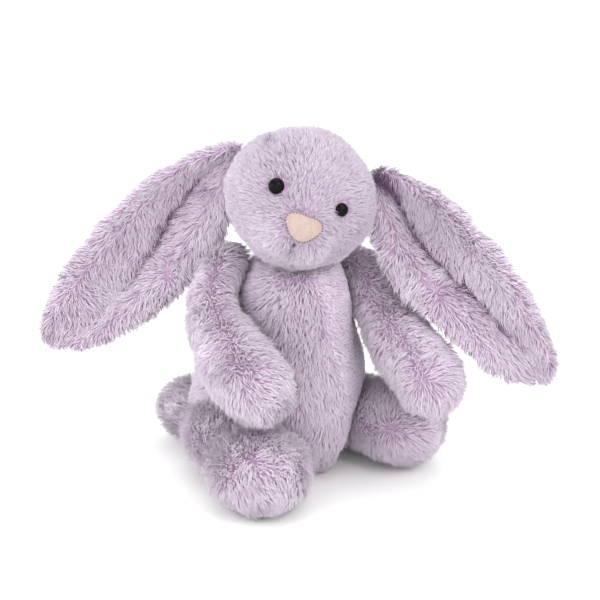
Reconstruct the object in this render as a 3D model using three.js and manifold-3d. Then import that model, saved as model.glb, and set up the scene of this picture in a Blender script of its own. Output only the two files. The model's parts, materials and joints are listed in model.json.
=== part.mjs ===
// A seated plush bunny at its real size, in millimetres, +Z up.
// The origin is the middle of the flat seat under the torso. +X runs along the span of the ears
// towards the bunny's left. The face looks along -Y, and the torso is turned towards +X.
//
// Every stuffed piece is a pile fabric cover, open where it is sewn on, round a separate filling.
// A cover is lathed along a curved centre line, outer wall first, over the rim of its sewn
// opening and back along the inner wall, and is then settled on the floor.
import * as THREE from 'three';
import { mergeVertices } from 'three/addons/utils/BufferGeometryUtils.js';
import Module from 'manifold-3d';

const wasm = await Module();
wasm.setup();

// ---- driving dimensions ------------------------------------------------------------------------
const WALL = 2.5;              // thickness of the pile fabric, pile included
const GAP = 0.4;               // clearance between pieces that touch
const LOOSE = 2;               // clearance between a filling and the inside of its cover
const SOCKET = 3.2;            // clearance round a limb through its swing
const TORSO_HEIGHT = 138;      // before its top is hollowed under the head
const TORSO_DEPTH = 0.97;      // depth of the torso as a share of its width
const TORSO_TURN = 40;         // degrees from the face's direction towards +X
const SEAT_SINK = 14;          // how far the torso would reach below the floor if it were hard
const HEAD = { x: 8.5, y: -18, z: 165.5, halfWidth: 45, halfDepth: 42, halfHeight: 40.5 };
const HEAD_TURN = 2.7;          // degrees, towards +X
const HEAD_TILT = 21;          // degrees, crown towards +X
const HEAD_OPENING = 15;
const NECK = { x: 11, z: 136, tilts: [0, -4, -8, -12], clearance: 1.5 };
const MUZZLE = { z: -13, swell: 6, spread: 20 };
const EYE = { radius: 4.6, dome: 3.4, sunk: 1.1, angle: 24, height: 10.9, stem: 1.6, length: 9 };
const WASHER = { radius: 5.5, thickness: 1.2 };
const NOSE = { radius: 10.8, corner: 0.11, width: 1.08, height: 0.8, z: -3, thickness: 1.2 };
const EAR = { thickness: 4.4, rim: 0.6, roundFrom: 0.78, roundOver: 0.225 };
const PELLET_BAG = { halfWidth: 13, halfLength: 27, height: 15 };
const TAIL_RADIUS = 20;
const LIMB_OPENING = 8;

const bunny = new THREE.Group();

// ---- materials ---------------------------------------------------------------------------------
const plush = new THREE.MeshStandardMaterial({ color: 0xc4b7c8, roughness: 0.95, metalness: 0 });
const fibre = new THREE.MeshStandardMaterial({ color: 0xf2f0ec, roughness: 1, metalness: 0 });
const calico = new THREE.MeshStandardMaterial({ color: 0xe4dccb, roughness: 0.95, metalness: 0 });
const suede = new THREE.MeshStandardMaterial({ color: 0xd9c6c2, roughness: 0.9, metalness: 0 });
const bead = new THREE.MeshStandardMaterial({ color: 0x0c0b0d, roughness: 0.12, metalness: 0 });
const nylon = new THREE.MeshStandardMaterial({ color: 0xe8e8e4, roughness: 0.5, metalness: 0 });

// ---- helpers -----------------------------------------------------------------------------------
function rad(degrees) {
  return degrees * Math.PI / 180;
}

function vec(x, y, z) {
  return new THREE.Vector3(x, y, z);
}

function add(name, geometry, material, parent = bunny) {
  const mesh = new THREE.Mesh(geometry, material);
  mesh.name = name;
  parent.add(mesh);
}

// Shares the vertices, drops faces that have shrunk to a line and turns the faces outwards.
function close(raw) {
  raw.deleteAttribute('normal');
  raw.deleteAttribute('uv');
  const geometry = mergeVertices(raw, 1e-4);
  const at = geometry.attributes.position;
  const index = geometry.index;
  const kept = [];
  const [a, b, c] = [vec(), vec(), vec()];
  let volume = 0;
  for (let i = 0; i < index.count; i += 3) {
    const [p, q, r] = [index.getX(i), index.getX(i + 1), index.getX(i + 2)];
    if (p !== q && q !== r && r !== p) {
      kept.push([p, q, r]);
      a.fromBufferAttribute(at, p);
      b.fromBufferAttribute(at, q);
      c.fromBufferAttribute(at, r);
      volume += a.dot(b.cross(c));
    }
  }
  geometry.setIndex(kept.flatMap(([p, q, r]) => (volume > 0 ? [p, q, r] : [q, p, r])));
  geometry.computeVertexNormals();
  return geometry;
}

// Moves every vertex of a geometry by a function of its place and number.
function mould(geometry, move) {
  const at = geometry.attributes.position;
  const point = vec();
  for (let i = 0; i < at.count; i++) {
    point.fromBufferAttribute(at, i);
    move(point, i);
    at.setXYZ(i, point.x, point.y, point.z);
  }
  return geometry;
}

function solid(geometry) {
  return new wasm.Manifold(new wasm.Mesh({
    numProp: 3,
    vertProperties: new Float32Array(geometry.attributes.position.array),
    triVerts: new Uint32Array(geometry.index.array),
  }));
}

function cut(geometry, tools) {
  let body = solid(geometry);
  for (const tool of tools) {
    body = body.subtract(solid(tool));
  }
  const mesh = body.getMesh();
  const result = new THREE.BufferGeometry();
  const places = new Float32Array(mesh.vertProperties);
  result.setAttribute('position', new THREE.BufferAttribute(places, 3));
  result.setIndex([...mesh.triVerts]);
  return close(result);
}

// Value at share t from a short list of [t, value], with smooth steps between them.
function blend(stops, t) {
  let i = 1;
  while (i < stops.length - 1 && stops[i][0] < t) {
    i += 1;
  }
  const [[t0, v0], [t1, v1]] = [stops[i - 1], stops[i]];
  return v0 + (v1 - v0) * THREE.MathUtils.smoothstep(t, t0, t1);
}

// Half outline of a stuffed form with round ends, drawn inset from its outer surface. With an
// opening it stops at that radius near the sewn end.
function halfOutline(form, length, inset, opening) {
  const points = [];
  const first = form.radii[0][1] - inset;
  const last = form.radii.at(-1)[1] - inset;
  for (let i = 0; i <= form.rings; i++) {
    const t = (1 - Math.cos(Math.PI * i / form.rings)) / 2;
    const along = inset + t * (length - 2 * inset);
    const nearEnd = Math.min(1, (along - inset) / first);
    const farEnd = Math.min(1, (length - inset - along) / last);
    const round = Math.sqrt(nearEnd * (2 - nearEnd) * Math.max(0, farEnd * (2 - farEnd)));
    const radius = i % form.rings ? (blend(form.radii, along / length) - inset) * round : 0;
    if (opening && t > 0.5 && radius <= opening) {
      points.push(new THREE.Vector2(opening, along));
      return points;
    }
    points.push(new THREE.Vector2(radius, along));
  }
  return points;
}

// A form has a path from its closed end to its sewn end, radii along it, and optionally a side
// direction, a flatness (thickness over width) and a shape function that moves points.
function stuffed(form, { inset = 0, opening = 0 } = {}) {
  const curve = new THREE.CatmullRomCurve3(form.path);
  const length = curve.getLength();
  const outer = halfOutline(form, length, inset, opening);
  const inner = opening ? halfOutline(form, length, inset + WALL, opening - GAP).reverse() : [];
  const outline = [...outer, ...inner];
  const raw = new THREE.LatheGeometry(outline, form.segments);
  mould(raw, (p, i) => {
    const depth = i % outline.length < outer.length ? inset : inset + WALL;
    const share = THREE.MathUtils.clamp(p.y / length, 0, 1);
    const tangent = curve.getTangentAt(share);
    const across = vec().crossVectors(tangent, form.side).normalize();
    const up = vec().crossVectors(across, tangent);
    const beyond = p.y - share * length;
    const [x, z] = [p.x, p.z];
    p.copy(curve.getPointAt(share)).addScaledVector(tangent, beyond);
    p.addScaledVector(across, x).addScaledVector(up, z * form.flatness);
    form.shape(p);
    if (form.floor !== undefined) {
      p.z = Math.max(p.z, form.floor + depth);
    }
  });
  return close(raw);
}

function form(path, radii, options = {}) {
  const plain = { side: vec(0, 1, 0), flatness: 1, rings: 9, segments: 14, shape: () => {} };
  return { path, radii, ...plain, ...options };
}

function addStuffed(name, shape, opening, parent = bunny, coverCuts = [], fillingCuts = []) {
  const cover = stuffed(shape, { opening });
  const filling = stuffed(shape, { inset: WALL + LOOSE });
  add(`${name}_cover`, coverCuts.length ? cut(cover, coverCuts) : cover, plush, parent);
  add(`${name}_filling`, fillingCuts.length ? cut(filling, fillingCuts) : filling, fibre, parent);
}

// ---- limbs -------------------------------------------------------------------------------------
// A limb's path runs from its paw to where it is sewn on, and it swings about an upright line
// through its pivot. Angles are outwards, away from the other limb.
const limbs = {
  leg_right: {
    pivot: vec(-33, -22, 0),
    swing: [-5, 0, 12, 24],
    outwards: -1,
    form: form(
      [vec(-9, -106, 23), vec(-13, -80, 24), vec(-24, -48, 22), vec(-33, -22, 22), vec(-32, 2, 22)],
      [[0, 31], [0.3, 31], [0.6, 25], [1, 26]],
      { floor: 0, side: vec(0, 0, 1), flatness: 0.82 },
    ),
  },
  leg_left: {
    pivot: vec(31, 24, 0),
    swing: [-5, 0, 12, 24],
    outwards: 1,
    form: form(
      [vec(88, -34, 27), vec(70, -16, 27), vec(50, 4, 25), vec(31, 24, 22), vec(14, 38, 22)],
      [[0, 27], [0.3, 27], [0.6, 24], [1, 25]],
      { floor: 0, side: vec(0, 0, 1), flatness: 0.97 },
    ),
  },
  arm_right: {
    pivot: vec(-34, -8, 0),
    swing: [-4, 0, 9, 18],
    outwards: -1,
    form: form(
      [vec(-1, -96, 68), vec(-12, -80, 73), vec(-32, -50, 87), vec(-42, -26, 105), vec(-35, -7, 121),
        vec(-26, -2, 129)],
      [[0, 24], [0.3, 24], [0.58, 19], [0.8, 15], [1, 13]],
      { side: vec(1, 0.2, 0) },
    ),
  },
  arm_left: {
    pivot: vec(41, 13, 0),
    swing: [-12, -6, 0],
    outwards: 1,
    form: form(
      [vec(97, -60, 55), vec(84, -47, 64), vec(66, -24, 82), vec(53, -2, 101), vec(41, 13, 117),
        vec(33, 18, 127)],
      [[0, 23], [0.3, 23], [0.6, 18.5], [0.85, 15], [1, 13]],
      { side: vec(0.7, 0.7, 0) },
    ),
  },
};

for (const [name, limb] of Object.entries(limbs)) {
  addStuffed(name, limb.form, LIMB_OPENING);
}

// The limb, grown on all sides, at steps through its swing: what its neighbours keep clear of.
function swept({ pivot, swing, outwards, form: limb }, clearance) {
  return swing.map((angle) => {
    const coarse = { ...limb, segments: 12, floor: undefined };
    const tool = stuffed(coarse, { inset: -clearance });
    tool.translate(-pivot.x, -pivot.y, 0);
    tool.rotateZ(rad(outwards * angle));
    return tool.translate(pivot.x, pivot.y, 0);
  });
}

// ---- tail --------------------------------------------------------------------------------------
addStuffed('tail', form(
  [vec(-78, 31, 21), vec(-42, 17, 21)],
  [[0, TAIL_RADIUS], [1, TAIL_RADIUS]],
  { floor: 0, side: vec(0, 0, 1) },
), LIMB_OPENING);

// ---- head --------------------------------------------------------------------------------------
const head = new THREE.Group();
head.position.set(HEAD.x, HEAD.y, HEAD.z);
head.rotation.set(0, rad(HEAD_TILT), rad(HEAD_TURN), 'YXZ');
bunny.add(head);

function swell(x, z) {
  const away = (x * x + (z - MUZZLE.z) ** 2) / (MUZZLE.spread ** 2);
  return MUZZLE.swell * Math.exp(-away);
}

// Depth in front of the head's middle of the face at x, z.
function faceDepth(x, z) {
  const rest = 1 - (x / HEAD.halfWidth) ** 2 - (z / HEAD.halfHeight) ** 2;
  return HEAD.halfDepth * Math.sqrt(Math.max(0, rest)) + swell(x, z);
}

const skull = form(
  [vec(0, 0, HEAD.halfHeight), vec(0, 0, -HEAD.halfHeight)],
  [[0, HEAD.halfWidth], [1, HEAD.halfWidth]],
  {
    side: vec(0, -1, 0),
    flatness: HEAD.halfDepth / HEAD.halfWidth,
    rings: 12,
    segments: 20,
    shape: (p) => {
      if (p.y < 0) {
        p.y -= swell(p.x, p.z);
      }
    },
  },
);

const eyes = { right: -1, left: 1 };

// Places something lathed about +Y so that it points out of the face at an eye.
function atEye(geometry, sign) {
  const x = sign * HEAD.halfWidth * Math.sin(rad(EYE.angle));
  const depth = faceDepth(x, EYE.height);
  geometry.rotateX(-Math.PI / 2);
  const out = vec(x / HEAD.halfWidth ** 2, -depth / HEAD.halfDepth ** 2, EYE.height / HEAD.halfHeight ** 2);
  const turn = new THREE.Quaternion().setFromUnitVectors(vec(0, 0, -1), out.normalize());
  geometry.applyQuaternion(turn);
  geometry.translate(x, -depth, EYE.height);
  return geometry;
}

function eyeHole(sign, radius, from, to) {
  return atEye(close(new THREE.CylinderGeometry(radius, radius, to - from, 16).translate(0, (from + to) / 2, 0)), sign);
}

const stemHoles = Object.values(eyes).flatMap((sign) => [
  eyeHole(sign, EYE.stem + GAP, -12, 12),
  eyeHole(sign, EYE.radius + GAP, -EYE.sunk - GAP, 12),
]);
const washerPockets = Object.values(eyes).map((sign) => (
  eyeHole(sign, WASHER.radius + GAP, -EYE.length - EYE.sunk - GAP, 12)
));
addStuffed('head', skull, HEAD_OPENING, head, stemHoles, washerPockets);

// A safety eye is a half bead with a stem through the cover, held by a washer inside.
for (const [side, sign] of Object.entries(eyes)) {
  const dome = new THREE.EllipseCurve(0, -EYE.sunk, EYE.radius, EYE.dome, 0, Math.PI / 2).getPoints(5);
  const eye = [
    new THREE.Vector2(0, -EYE.sunk - EYE.length),
    new THREE.Vector2(EYE.stem, -EYE.sunk - EYE.length),
    new THREE.Vector2(EYE.stem, -EYE.sunk),
    ...dome.map((p) => new THREE.Vector2(Math.max(0, p.x), p.y)),
  ];
  add(`eye_${side}`, atEye(close(new THREE.LatheGeometry(eye, 16)), sign), bead, head);
  const [bore, rim] = [EYE.stem + GAP / 2, WASHER.radius];
  const outside = -WALL - EYE.sunk - 4 * GAP;
  const inside = outside - WASHER.thickness;
  const washer = [[bore, inside], [rim, inside], [rim, outside], [bore, outside], [bore, inside]];
  const ring = new THREE.LatheGeometry(washer.map(([r, y]) => new THREE.Vector2(r, y)), 16);
  add(`eye_washer_${side}`, atEye(close(ring), sign), nylon, head);
}

// The nose is a rounded triangle of suede, point down, laid on the muzzle.
const disc = [0, 1 / 3, 2 / 3, 1];
const nosePlan = [
  ...disc.map((r) => new THREE.Vector2(r, 0)),
  ...disc.toReversed().map((r) => new THREE.Vector2(r, NOSE.thickness)),
];
const nose = mould(new THREE.LatheGeometry(nosePlan, 24), (p) => {
  const angle = Math.atan2(p.z, p.x);
  const reach = NOSE.radius * (1 + NOSE.corner * Math.cos(3 * (angle - Math.PI / 6)));
  const x = p.x * reach * NOSE.width;
  const z = NOSE.z + p.z * reach * NOSE.height;
  p.set(x, -faceDepth(x, z) - GAP - p.y, z);
});
add('nose_patch', close(nose), suede, head);

// ---- torso -------------------------------------------------------------------------------------
// A pear that leans forwards to the neck, hollowed at the top where the head rests on it. The limbs
// sit in sockets in its sides, wide enough for them to swing. The pellet bag lies in a pocket in
// the underside of the filling.
const torsoFront = vec(Math.sin(rad(TORSO_TURN)), -Math.cos(rad(TORSO_TURN)), 0);
const torso = form(
  [vec(0, 0, -SEAT_SINK), vec(1, -1, 30), vec(6, -5, 75), vec(11, -9, TORSO_HEIGHT)],
  [[0, 47.5], [0.38, 47.5], [0.58, 43], [0.76, 38.5], [1, 35]],
  { floor: 0, side: torsoFront, flatness: TORSO_DEPTH, rings: 11, segments: 20 },
);
function pelletBag(growth) {
  const bag = new THREE.SphereGeometry(1, 16, 8).rotateX(Math.PI / 2);
  const halfHeight = PELLET_BAG.height / 2 + growth;
  bag.scale(PELLET_BAG.halfWidth + growth, PELLET_BAG.halfLength + growth, halfHeight);
  bag.rotateZ(rad(TORSO_TURN));
  return close(bag.translate(0, 0, WALL + 2 * GAP + PELLET_BAG.height / 2));
}

// The head, grown on all sides, at steps through its tilt: what the top of the torso keeps clear of.
function sweptHead(growth) {
  head.updateMatrix();
  return NECK.tilts.map((angle) => {
    const tool = stuffed(skull, { inset: -growth }).applyMatrix4(head.matrix);
    return tool.translate(-NECK.x, 0, -NECK.z).rotateY(rad(angle)).translate(NECK.x, 0, NECK.z);
  });
}

const allLimbs = Object.values(limbs);
const torsoCover = cut(
  stuffed(torso, { opening: 12 }),
  [...allLimbs.flatMap((limb) => swept(limb, SOCKET)), ...sweptHead(NECK.clearance)],
);
const torsoFilling = cut(
  stuffed(torso, { inset: WALL + LOOSE }),
  [
    ...allLimbs.flatMap((limb) => swept(limb, WALL + SOCKET)),
    ...sweptHead(WALL + NECK.clearance),
    pelletBag(GAP),
  ],
);
add('torso_cover', torsoCover, plush);
add('torso_filling', torsoFilling, fibre);
add('torso_pellet_bag', pelletBag(0), calico);

// ---- ears --------------------------------------------------------------------------------------
// Each ear is two long panels sewn edge to edge, cupped forwards. A panel is a box moulded over
// the middle surface: across the ear, from root to tip, and through its thickness. Its widths on
// the two sides of its middle line are given apart.
const EAR_CUPS = [[0, 5], [0.25, 13], [0.6, 9], [1, 3]];
const ears = {
  right: {
    path: [vec(-34, 5, 192), vec(-50, 11, 166), vec(-70, 14, 142), vec(-88, 12, 123), vec(-106, 8, 105),
      vec(-123, 3, 88), vec(-143, -3, 71)],
    facing: vec(0.1, -1, 0.15),
    ahead: [[0, 9], [0.16, 20], [0.3, 26], [0.5, 28], [0.65, 27], [0.82, 23], [1, 19]],
    behind: [[0, 9], [0.2, 20], [0.36, 27], [0.5, 29], [0.65, 30], [0.82, 26], [1, 20]],
  },
  left: {
    path: [vec(59, -1, 176), vec(71, -11, 154), vec(83, -23, 138), vec(98, -33, 122), vec(115, -39, 106),
      vec(131, -41, 87), vec(152, -41, 64)],
    facing: vec(-0.2, -1, -0.2),
    ahead: [[0, 9], [0.2, 21], [0.36, 27], [0.5, 25], [0.65, 26], [0.82, 26], [1, 20]],
    behind: [[0, 9], [0.16, 22], [0.3, 29], [0.5, 31], [0.65, 28], [0.82, 22], [1, 17]],
  },
};

function earPanel({ path, facing, ahead, behind }, side) {
  const curve = new THREE.CatmullRomCurve3(path);
  return close(mould(new THREE.BoxGeometry(2, 1, 1, 6, 12, 1), (p) => {
    const [u, v] = [side * p.x, p.y + 0.5];
    const tangent = curve.getTangentAt(v);
    const across = vec().crossVectors(tangent, facing).normalize();
    const out = vec().crossVectors(across, tangent);
    const late = Math.max(0, v - EAR.roundFrom) / EAR.roundOver;
    const halfWidth = blend(u > 0 ? ahead : behind, v) * Math.sqrt(1 - late * late);
    const cup = blend(EAR_CUPS, v) * (u * u - 1 / 3);
    const thickness = EAR.thickness * (1 - EAR.rim * u ** 4);
    const through = side * GAP / 2 + (p.z + side * 0.5) * thickness;
    p.copy(curve.getPointAt(v)).addScaledVector(across, u * halfWidth);
    p.addScaledVector(out, cup + through);
  }));
}

for (const [name, ear] of Object.entries(ears)) {
  add(`ear_${name}_lining`, earPanel(ear, 1), plush);
  add(`ear_${name}_back`, earPanel(ear, -1), plush);
}

export default bunny;
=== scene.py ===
"""A seated lilac plush bunny: stuffed skins under a real mesh pile, bead eyes and a suede nose."""
import json
import math

import bmesh
import bpy
import numpy as np
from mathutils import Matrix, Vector, kdtree
from mathutils.bvhtree import BVHTree


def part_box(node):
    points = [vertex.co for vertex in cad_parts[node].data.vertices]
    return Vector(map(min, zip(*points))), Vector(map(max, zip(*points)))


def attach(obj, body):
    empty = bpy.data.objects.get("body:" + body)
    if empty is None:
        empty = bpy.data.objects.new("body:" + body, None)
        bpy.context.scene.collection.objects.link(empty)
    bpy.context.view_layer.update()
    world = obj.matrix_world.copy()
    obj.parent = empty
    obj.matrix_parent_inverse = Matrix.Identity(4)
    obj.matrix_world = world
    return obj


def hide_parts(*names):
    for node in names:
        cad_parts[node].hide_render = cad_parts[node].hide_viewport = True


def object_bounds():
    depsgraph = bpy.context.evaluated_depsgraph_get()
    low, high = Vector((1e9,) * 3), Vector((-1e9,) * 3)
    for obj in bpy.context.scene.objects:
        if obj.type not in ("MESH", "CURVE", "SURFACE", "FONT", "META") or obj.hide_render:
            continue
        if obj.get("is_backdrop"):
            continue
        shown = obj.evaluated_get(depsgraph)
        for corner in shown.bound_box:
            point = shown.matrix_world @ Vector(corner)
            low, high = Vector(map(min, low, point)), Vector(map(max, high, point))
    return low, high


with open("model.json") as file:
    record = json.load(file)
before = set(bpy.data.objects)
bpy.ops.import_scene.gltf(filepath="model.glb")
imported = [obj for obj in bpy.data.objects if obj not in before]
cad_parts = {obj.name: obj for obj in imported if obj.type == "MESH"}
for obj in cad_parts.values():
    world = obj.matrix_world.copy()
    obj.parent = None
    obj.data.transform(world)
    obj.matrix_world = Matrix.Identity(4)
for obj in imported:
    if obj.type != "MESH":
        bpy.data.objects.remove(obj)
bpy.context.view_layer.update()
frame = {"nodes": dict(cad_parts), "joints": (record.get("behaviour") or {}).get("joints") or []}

MM = 0.001
FLOOR_GAP = 0.3 * MM           # lowest that pile lies above the floor


# ---- camera, light and floor -------------------------------------------------------------------
CAMERA_ELEVATION = math.radians(19)
CAMERA_DISTANCE = 1.1
CAMERA_LENS = 110              # millimetres, on a 36 mm wide frame
AIM = Vector((7.8, 30.3, 87.9)) * MM
TOY_MIDDLE = Vector((0, 0, 0.1))
WORLD_STRENGTH = 1.08
LIGHTS = {                     # place and size in metres, power in watts
    "key": ((0.8, -0.8, 0.9), 0.8, 7.6),
    "fill": ((-0.9, -1.1, 0.5), 1.2, 8),
    "top": ((0.1, 0.1, 1.3), 1.0, 5),
    "low": ((0.4, -1.4, 0.2), 0.9, 4),
    "side": ((-1.3, -0.25, 0.4), 1.0, 6),
}


def look_at(obj, target):
    obj.rotation_euler = (target - obj.location).to_track_quat("-Z", "Y").to_euler()


def add_camera():
    data = bpy.data.cameras.new("camera")
    data.lens = CAMERA_LENS
    data.sensor_width = 36
    camera = bpy.data.objects.new("camera", data)
    bpy.context.scene.collection.objects.link(camera)
    back = Vector((0, -math.cos(CAMERA_ELEVATION), math.sin(CAMERA_ELEVATION)))
    camera.location = AIM + back * CAMERA_DISTANCE
    look_at(camera, AIM)
    bpy.context.scene.camera = camera


def add_light(name, place, size, power):
    """A square studio light, facing the toy."""
    data = bpy.data.lights.new(name, "AREA")
    data.size = size
    data.energy = power
    light = bpy.data.objects.new(name, data)
    bpy.context.scene.collection.objects.link(light)
    light.location = place
    look_at(light, TOY_MIDDLE)


def add_studio():
    """A pale floor under an even white sky, and the lights."""
    bpy.ops.mesh.primitive_plane_add(size=12)
    floor = bpy.context.object
    floor.name = "studio_floor"
    material = bpy.data.materials.new("studio_floor")
    material.use_nodes = True
    shader = material.node_tree.nodes["Principled BSDF"]
    shader.inputs["Base Color"].default_value = (0.93, 0.93, 0.93, 1)
    shader.inputs["Roughness"].default_value = 0.9
    shader.inputs["Specular IOR Level"].default_value = 0.1
    floor.data.materials.append(material)
    floor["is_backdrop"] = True
    world = bpy.data.worlds.new("studio")
    world.use_nodes = True
    world.node_tree.nodes["Background"].inputs["Color"].default_value = (1, 1, 1, 1)
    world.node_tree.nodes["Background"].inputs["Strength"].default_value = WORLD_STRENGTH
    bpy.context.scene.world = world
    bpy.context.scene.view_settings.view_transform = "Standard"
    for name, (place, size, power) in LIGHTS.items():
        add_light(name, place, size, power)


add_camera()
add_studio()


# ---- materials ---------------------------------------------------------------------------------
def srgb(red, green, blue):
    """A colour written in 0 to 255 steps, as the linear RGBA that Blender takes."""
    def linear(c):
        c /= 255
        return c / 12.92 if c <= 0.04045 else ((c + 0.055) / 1.055) ** 2.4
    return (linear(red), linear(green), linear(blue), 1)


def new_material(name, roughness, **sockets):
    material = bpy.data.materials.new(name)
    material.use_nodes = True
    shader = material.node_tree.nodes["Principled BSDF"]
    shader.inputs["Roughness"].default_value = roughness
    for socket, value in sockets.items():
        shader.inputs[socket.replace("_", " ")].default_value = value
    return material, material.node_tree, shader


def ramp(tree, factor, stops):
    node = tree.nodes.new("ShaderNodeValToRGB")
    elements = node.color_ramp.elements
    while len(elements) < len(stops):
        elements.new(0.5)
    for element, (place, colour) in zip(elements, stops):
        element.position = place
        element.color = colour
    tree.links.new(factor, node.inputs["Fac"])
    return node.outputs["Color"]


def mix(tree, factor, one, other, mode="MIX"):
    node = tree.nodes.new("ShaderNodeMix")
    node.data_type = "RGBA"
    node.blend_type = mode
    for socket, value in (("Factor", factor), ("A", one), ("B", other)):
        target = [s for s in node.inputs if s.name == socket and s.enabled][0]
        if isinstance(value, bpy.types.NodeSocket):
            tree.links.new(value, target)
        else:
            target.default_value = value
    return [s for s in node.outputs if s.enabled][0]


def noise(tree, scale, detail):
    node = tree.nodes.new("ShaderNodeTexNoise")
    node.inputs["Scale"].default_value = scale
    node.inputs["Detail"].default_value = detail
    coordinates = tree.nodes.new("ShaderNodeTexCoord").outputs["Object"]
    tree.links.new(coordinates, node.inputs["Vector"])
    return node.outputs["Fac"]


def bump(tree, shader, height, strength, distance):
    node = tree.nodes.new("ShaderNodeBump")
    node.inputs["Strength"].default_value = strength
    node.inputs["Distance"].default_value = distance
    tree.links.new(height, node.inputs["Height"])
    tree.links.new(node.outputs["Normal"], shader.inputs["Normal"])


PILE_UV = "OFBake"             # u: how light a strand is, from its random tone and painted light and shade, v: from its root to its tip


def pile_material(name, dark_rows, light_rows):
    """Pile from its root to its tip, darker at the root as painted shade deep in the pile, in a dark and a
    light version that the strands' uv mixes.
    """
    material, tree, shader = new_material(name, 0.75, Sheen_Weight=0.3, Sheen_Roughness=0.45)
    shader.inputs["Specular IOR Level"].default_value = 0.2
    shader.inputs["Sheen Tint"].default_value = srgb(236, 228, 240)
    uv = tree.nodes.new("ShaderNodeUVMap")
    uv.uv_map = PILE_UV
    split = tree.nodes.new("ShaderNodeSeparateXYZ")
    tree.links.new(uv.outputs["UV"], split.inputs["Vector"])
    dark, light = (ramp(tree, split.outputs["Y"], [(place, srgb(*colour)) for place, colour in rows])
                   for rows in (dark_rows, light_rows))
    across = split.outputs["X"]
    # Strands whose u is below 0.25 are multiplied darker, down to (150, 118, 150): painted shade for
    # creases, partings and eye sockets.
    deep = ramp(tree, across, [(0.0, srgb(150, 118, 150)), (0.25, (1, 1, 1, 1))])
    colour = mix(tree, 1.0, mix(tree, across, dark, light), deep, "MULTIPLY")
    tree.links.new(colour, shader.inputs["Base Color"])
    return material


def backing_material():
    """The woven ground that the pile stands on, seen only deep in a parting, darker than the pile as painted
    shade deep in it.
    """
    material, tree, shader = new_material("lilac_backing", 0.95, Sheen_Weight=0.2)
    patches = noise(tree, 60, 3)
    fibres = noise(tree, 900, 2)
    base = ramp(tree, patches, [(0.3, srgb(166, 138, 165)), (0.7, srgb(184, 158, 183))])
    weave = ramp(tree, fibres, [(0.3, srgb(152, 124, 152)), (0.7, srgb(200, 178, 200))])
    tree.links.new(mix(tree, 0.25, base, weave), shader.inputs["Base Color"])
    bump(tree, shader, fibres, 0.6, 0.4 * MM)
    return material


def suede_material():
    material, tree, shader = new_material("nose_suede", 0.85, Sheen_Weight=0.4, Sheen_Roughness=0.35)
    nap = noise(tree, 2600, 3)
    cloud = noise(tree, 240, 2)
    base = ramp(tree, cloud, [(0.3, srgb(160, 142, 134)), (0.7, srgb(174, 155, 147))])
    grain = ramp(tree, nap, [(0.35, srgb(142, 123, 117)), (0.65, srgb(190, 173, 165))])
    tree.links.new(mix(tree, 0.45, base, grain), shader.inputs["Base Color"])
    bump(tree, shader, nap, 0.5, 0.15 * MM)
    return material


def thread_material(name, dark, light):
    material, tree, shader = new_material(name, 0.8)
    twist = noise(tree, 1800, 1)
    tree.links.new(ramp(tree, twist, [(0.3, dark), (0.7, light)]), shader.inputs["Base Color"])
    return material


def bead_material():
    material, tree, shader = new_material("eye_bead", 0.12)
    shader.inputs["Specular IOR Level"].default_value = 0.1
    depth = noise(tree, 300, 1)
    black = ramp(tree, depth, [(0.3, srgb(5, 4, 5)), (0.7, srgb(12, 9, 11))])
    tree.links.new(black, shader.inputs["Base Color"])
    return material


def inner_material(name, dark, light, scale, roughness=0.95):
    """For pieces that stay inside the covers: a plain fibrous or moulded surface."""
    material, tree, shader = new_material(name, roughness)
    grain = noise(tree, scale, 3)
    tree.links.new(ramp(tree, grain, [(0.3, dark), (0.7, light)]), shader.inputs["Base Color"])
    bump(tree, shader, grain, 0.4, 0.3 * MM)
    return material


# Both pile colours run from a darker root to a lighter tip: the darker root is painted shade deep in the
# pile.
PILE = pile_material("lilac_pile",
                     [(0.0, (168, 142, 168)), (0.4, (192, 171, 193)), (1.0, (206, 191, 208))],
                     [(0.0, (190, 165, 189)), (0.4, (212, 197, 214)), (1.0, (232, 225, 234))])
# The head's pile is a darker, greyer copy of the body's: painted shade against the extra light that the head
# catches from the top and key lights.
HEAD_PILE = pile_material("lilac_head_pile",
                          [(0.0, (158, 140, 160)), (0.4, (180, 165, 183)), (1.0, (194, 183, 198))],
                          [(0.0, (176, 158, 177)), (0.4, (200, 188, 203)), (1.0, (221, 215, 224))])
BACKING = backing_material()
SUEDE = suede_material()
# The nose thread is real stitching, made dark enough to also paint the shadow line between the nose and the
# pile.
THREAD = thread_material("nose_thread", srgb(104, 78, 92), srgb(138, 108, 122))
MOUTH_THREAD = thread_material("mouth_thread", srgb(58, 36, 54), srgb(84, 58, 80))
BEAD = bead_material()
CALICO = inner_material("calico", srgb(206, 196, 176), srgb(236, 228, 212), 1500)
NYLON = inner_material("washer_nylon", srgb(222, 222, 216), srgb(240, 240, 236), 400, 0.5)


# ---- mesh helpers ------------------------------------------------------------------------------
SAME_PLACE = 1e-6               # metres between points that are joined into one


def cad_points(node):
    mesh = frame["nodes"][node].data
    points = np.empty(len(mesh.vertices) * 3)
    mesh.vertices.foreach_get("co", points)
    return points.reshape(-1, 3)


def mesh_arrays(mesh):
    """Points, their normals, and the triangles of a mesh, as arrays."""
    mesh.calc_loop_triangles()
    points = np.empty(len(mesh.vertices) * 3)
    normals = np.empty(len(mesh.vertices) * 3)
    triangles = np.empty(len(mesh.loop_triangles) * 3, np.int32)
    mesh.vertices.foreach_get("co", points)
    mesh.vertices.foreach_get("normal", normals)
    mesh.loop_triangles.foreach_get("vertices", triangles)
    return points.reshape(-1, 3), normals.reshape(-1, 3), triangles.reshape(-1, 3)


def link(name, mesh, material, body):
    """Adds a mesh to the scene as a piece that rides on a body."""
    obj = bpy.data.objects.new(name, mesh)
    bpy.context.scene.collection.objects.link(obj)
    mesh.materials.clear()
    mesh.materials.append(material)
    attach(obj, body)
    return obj


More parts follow.
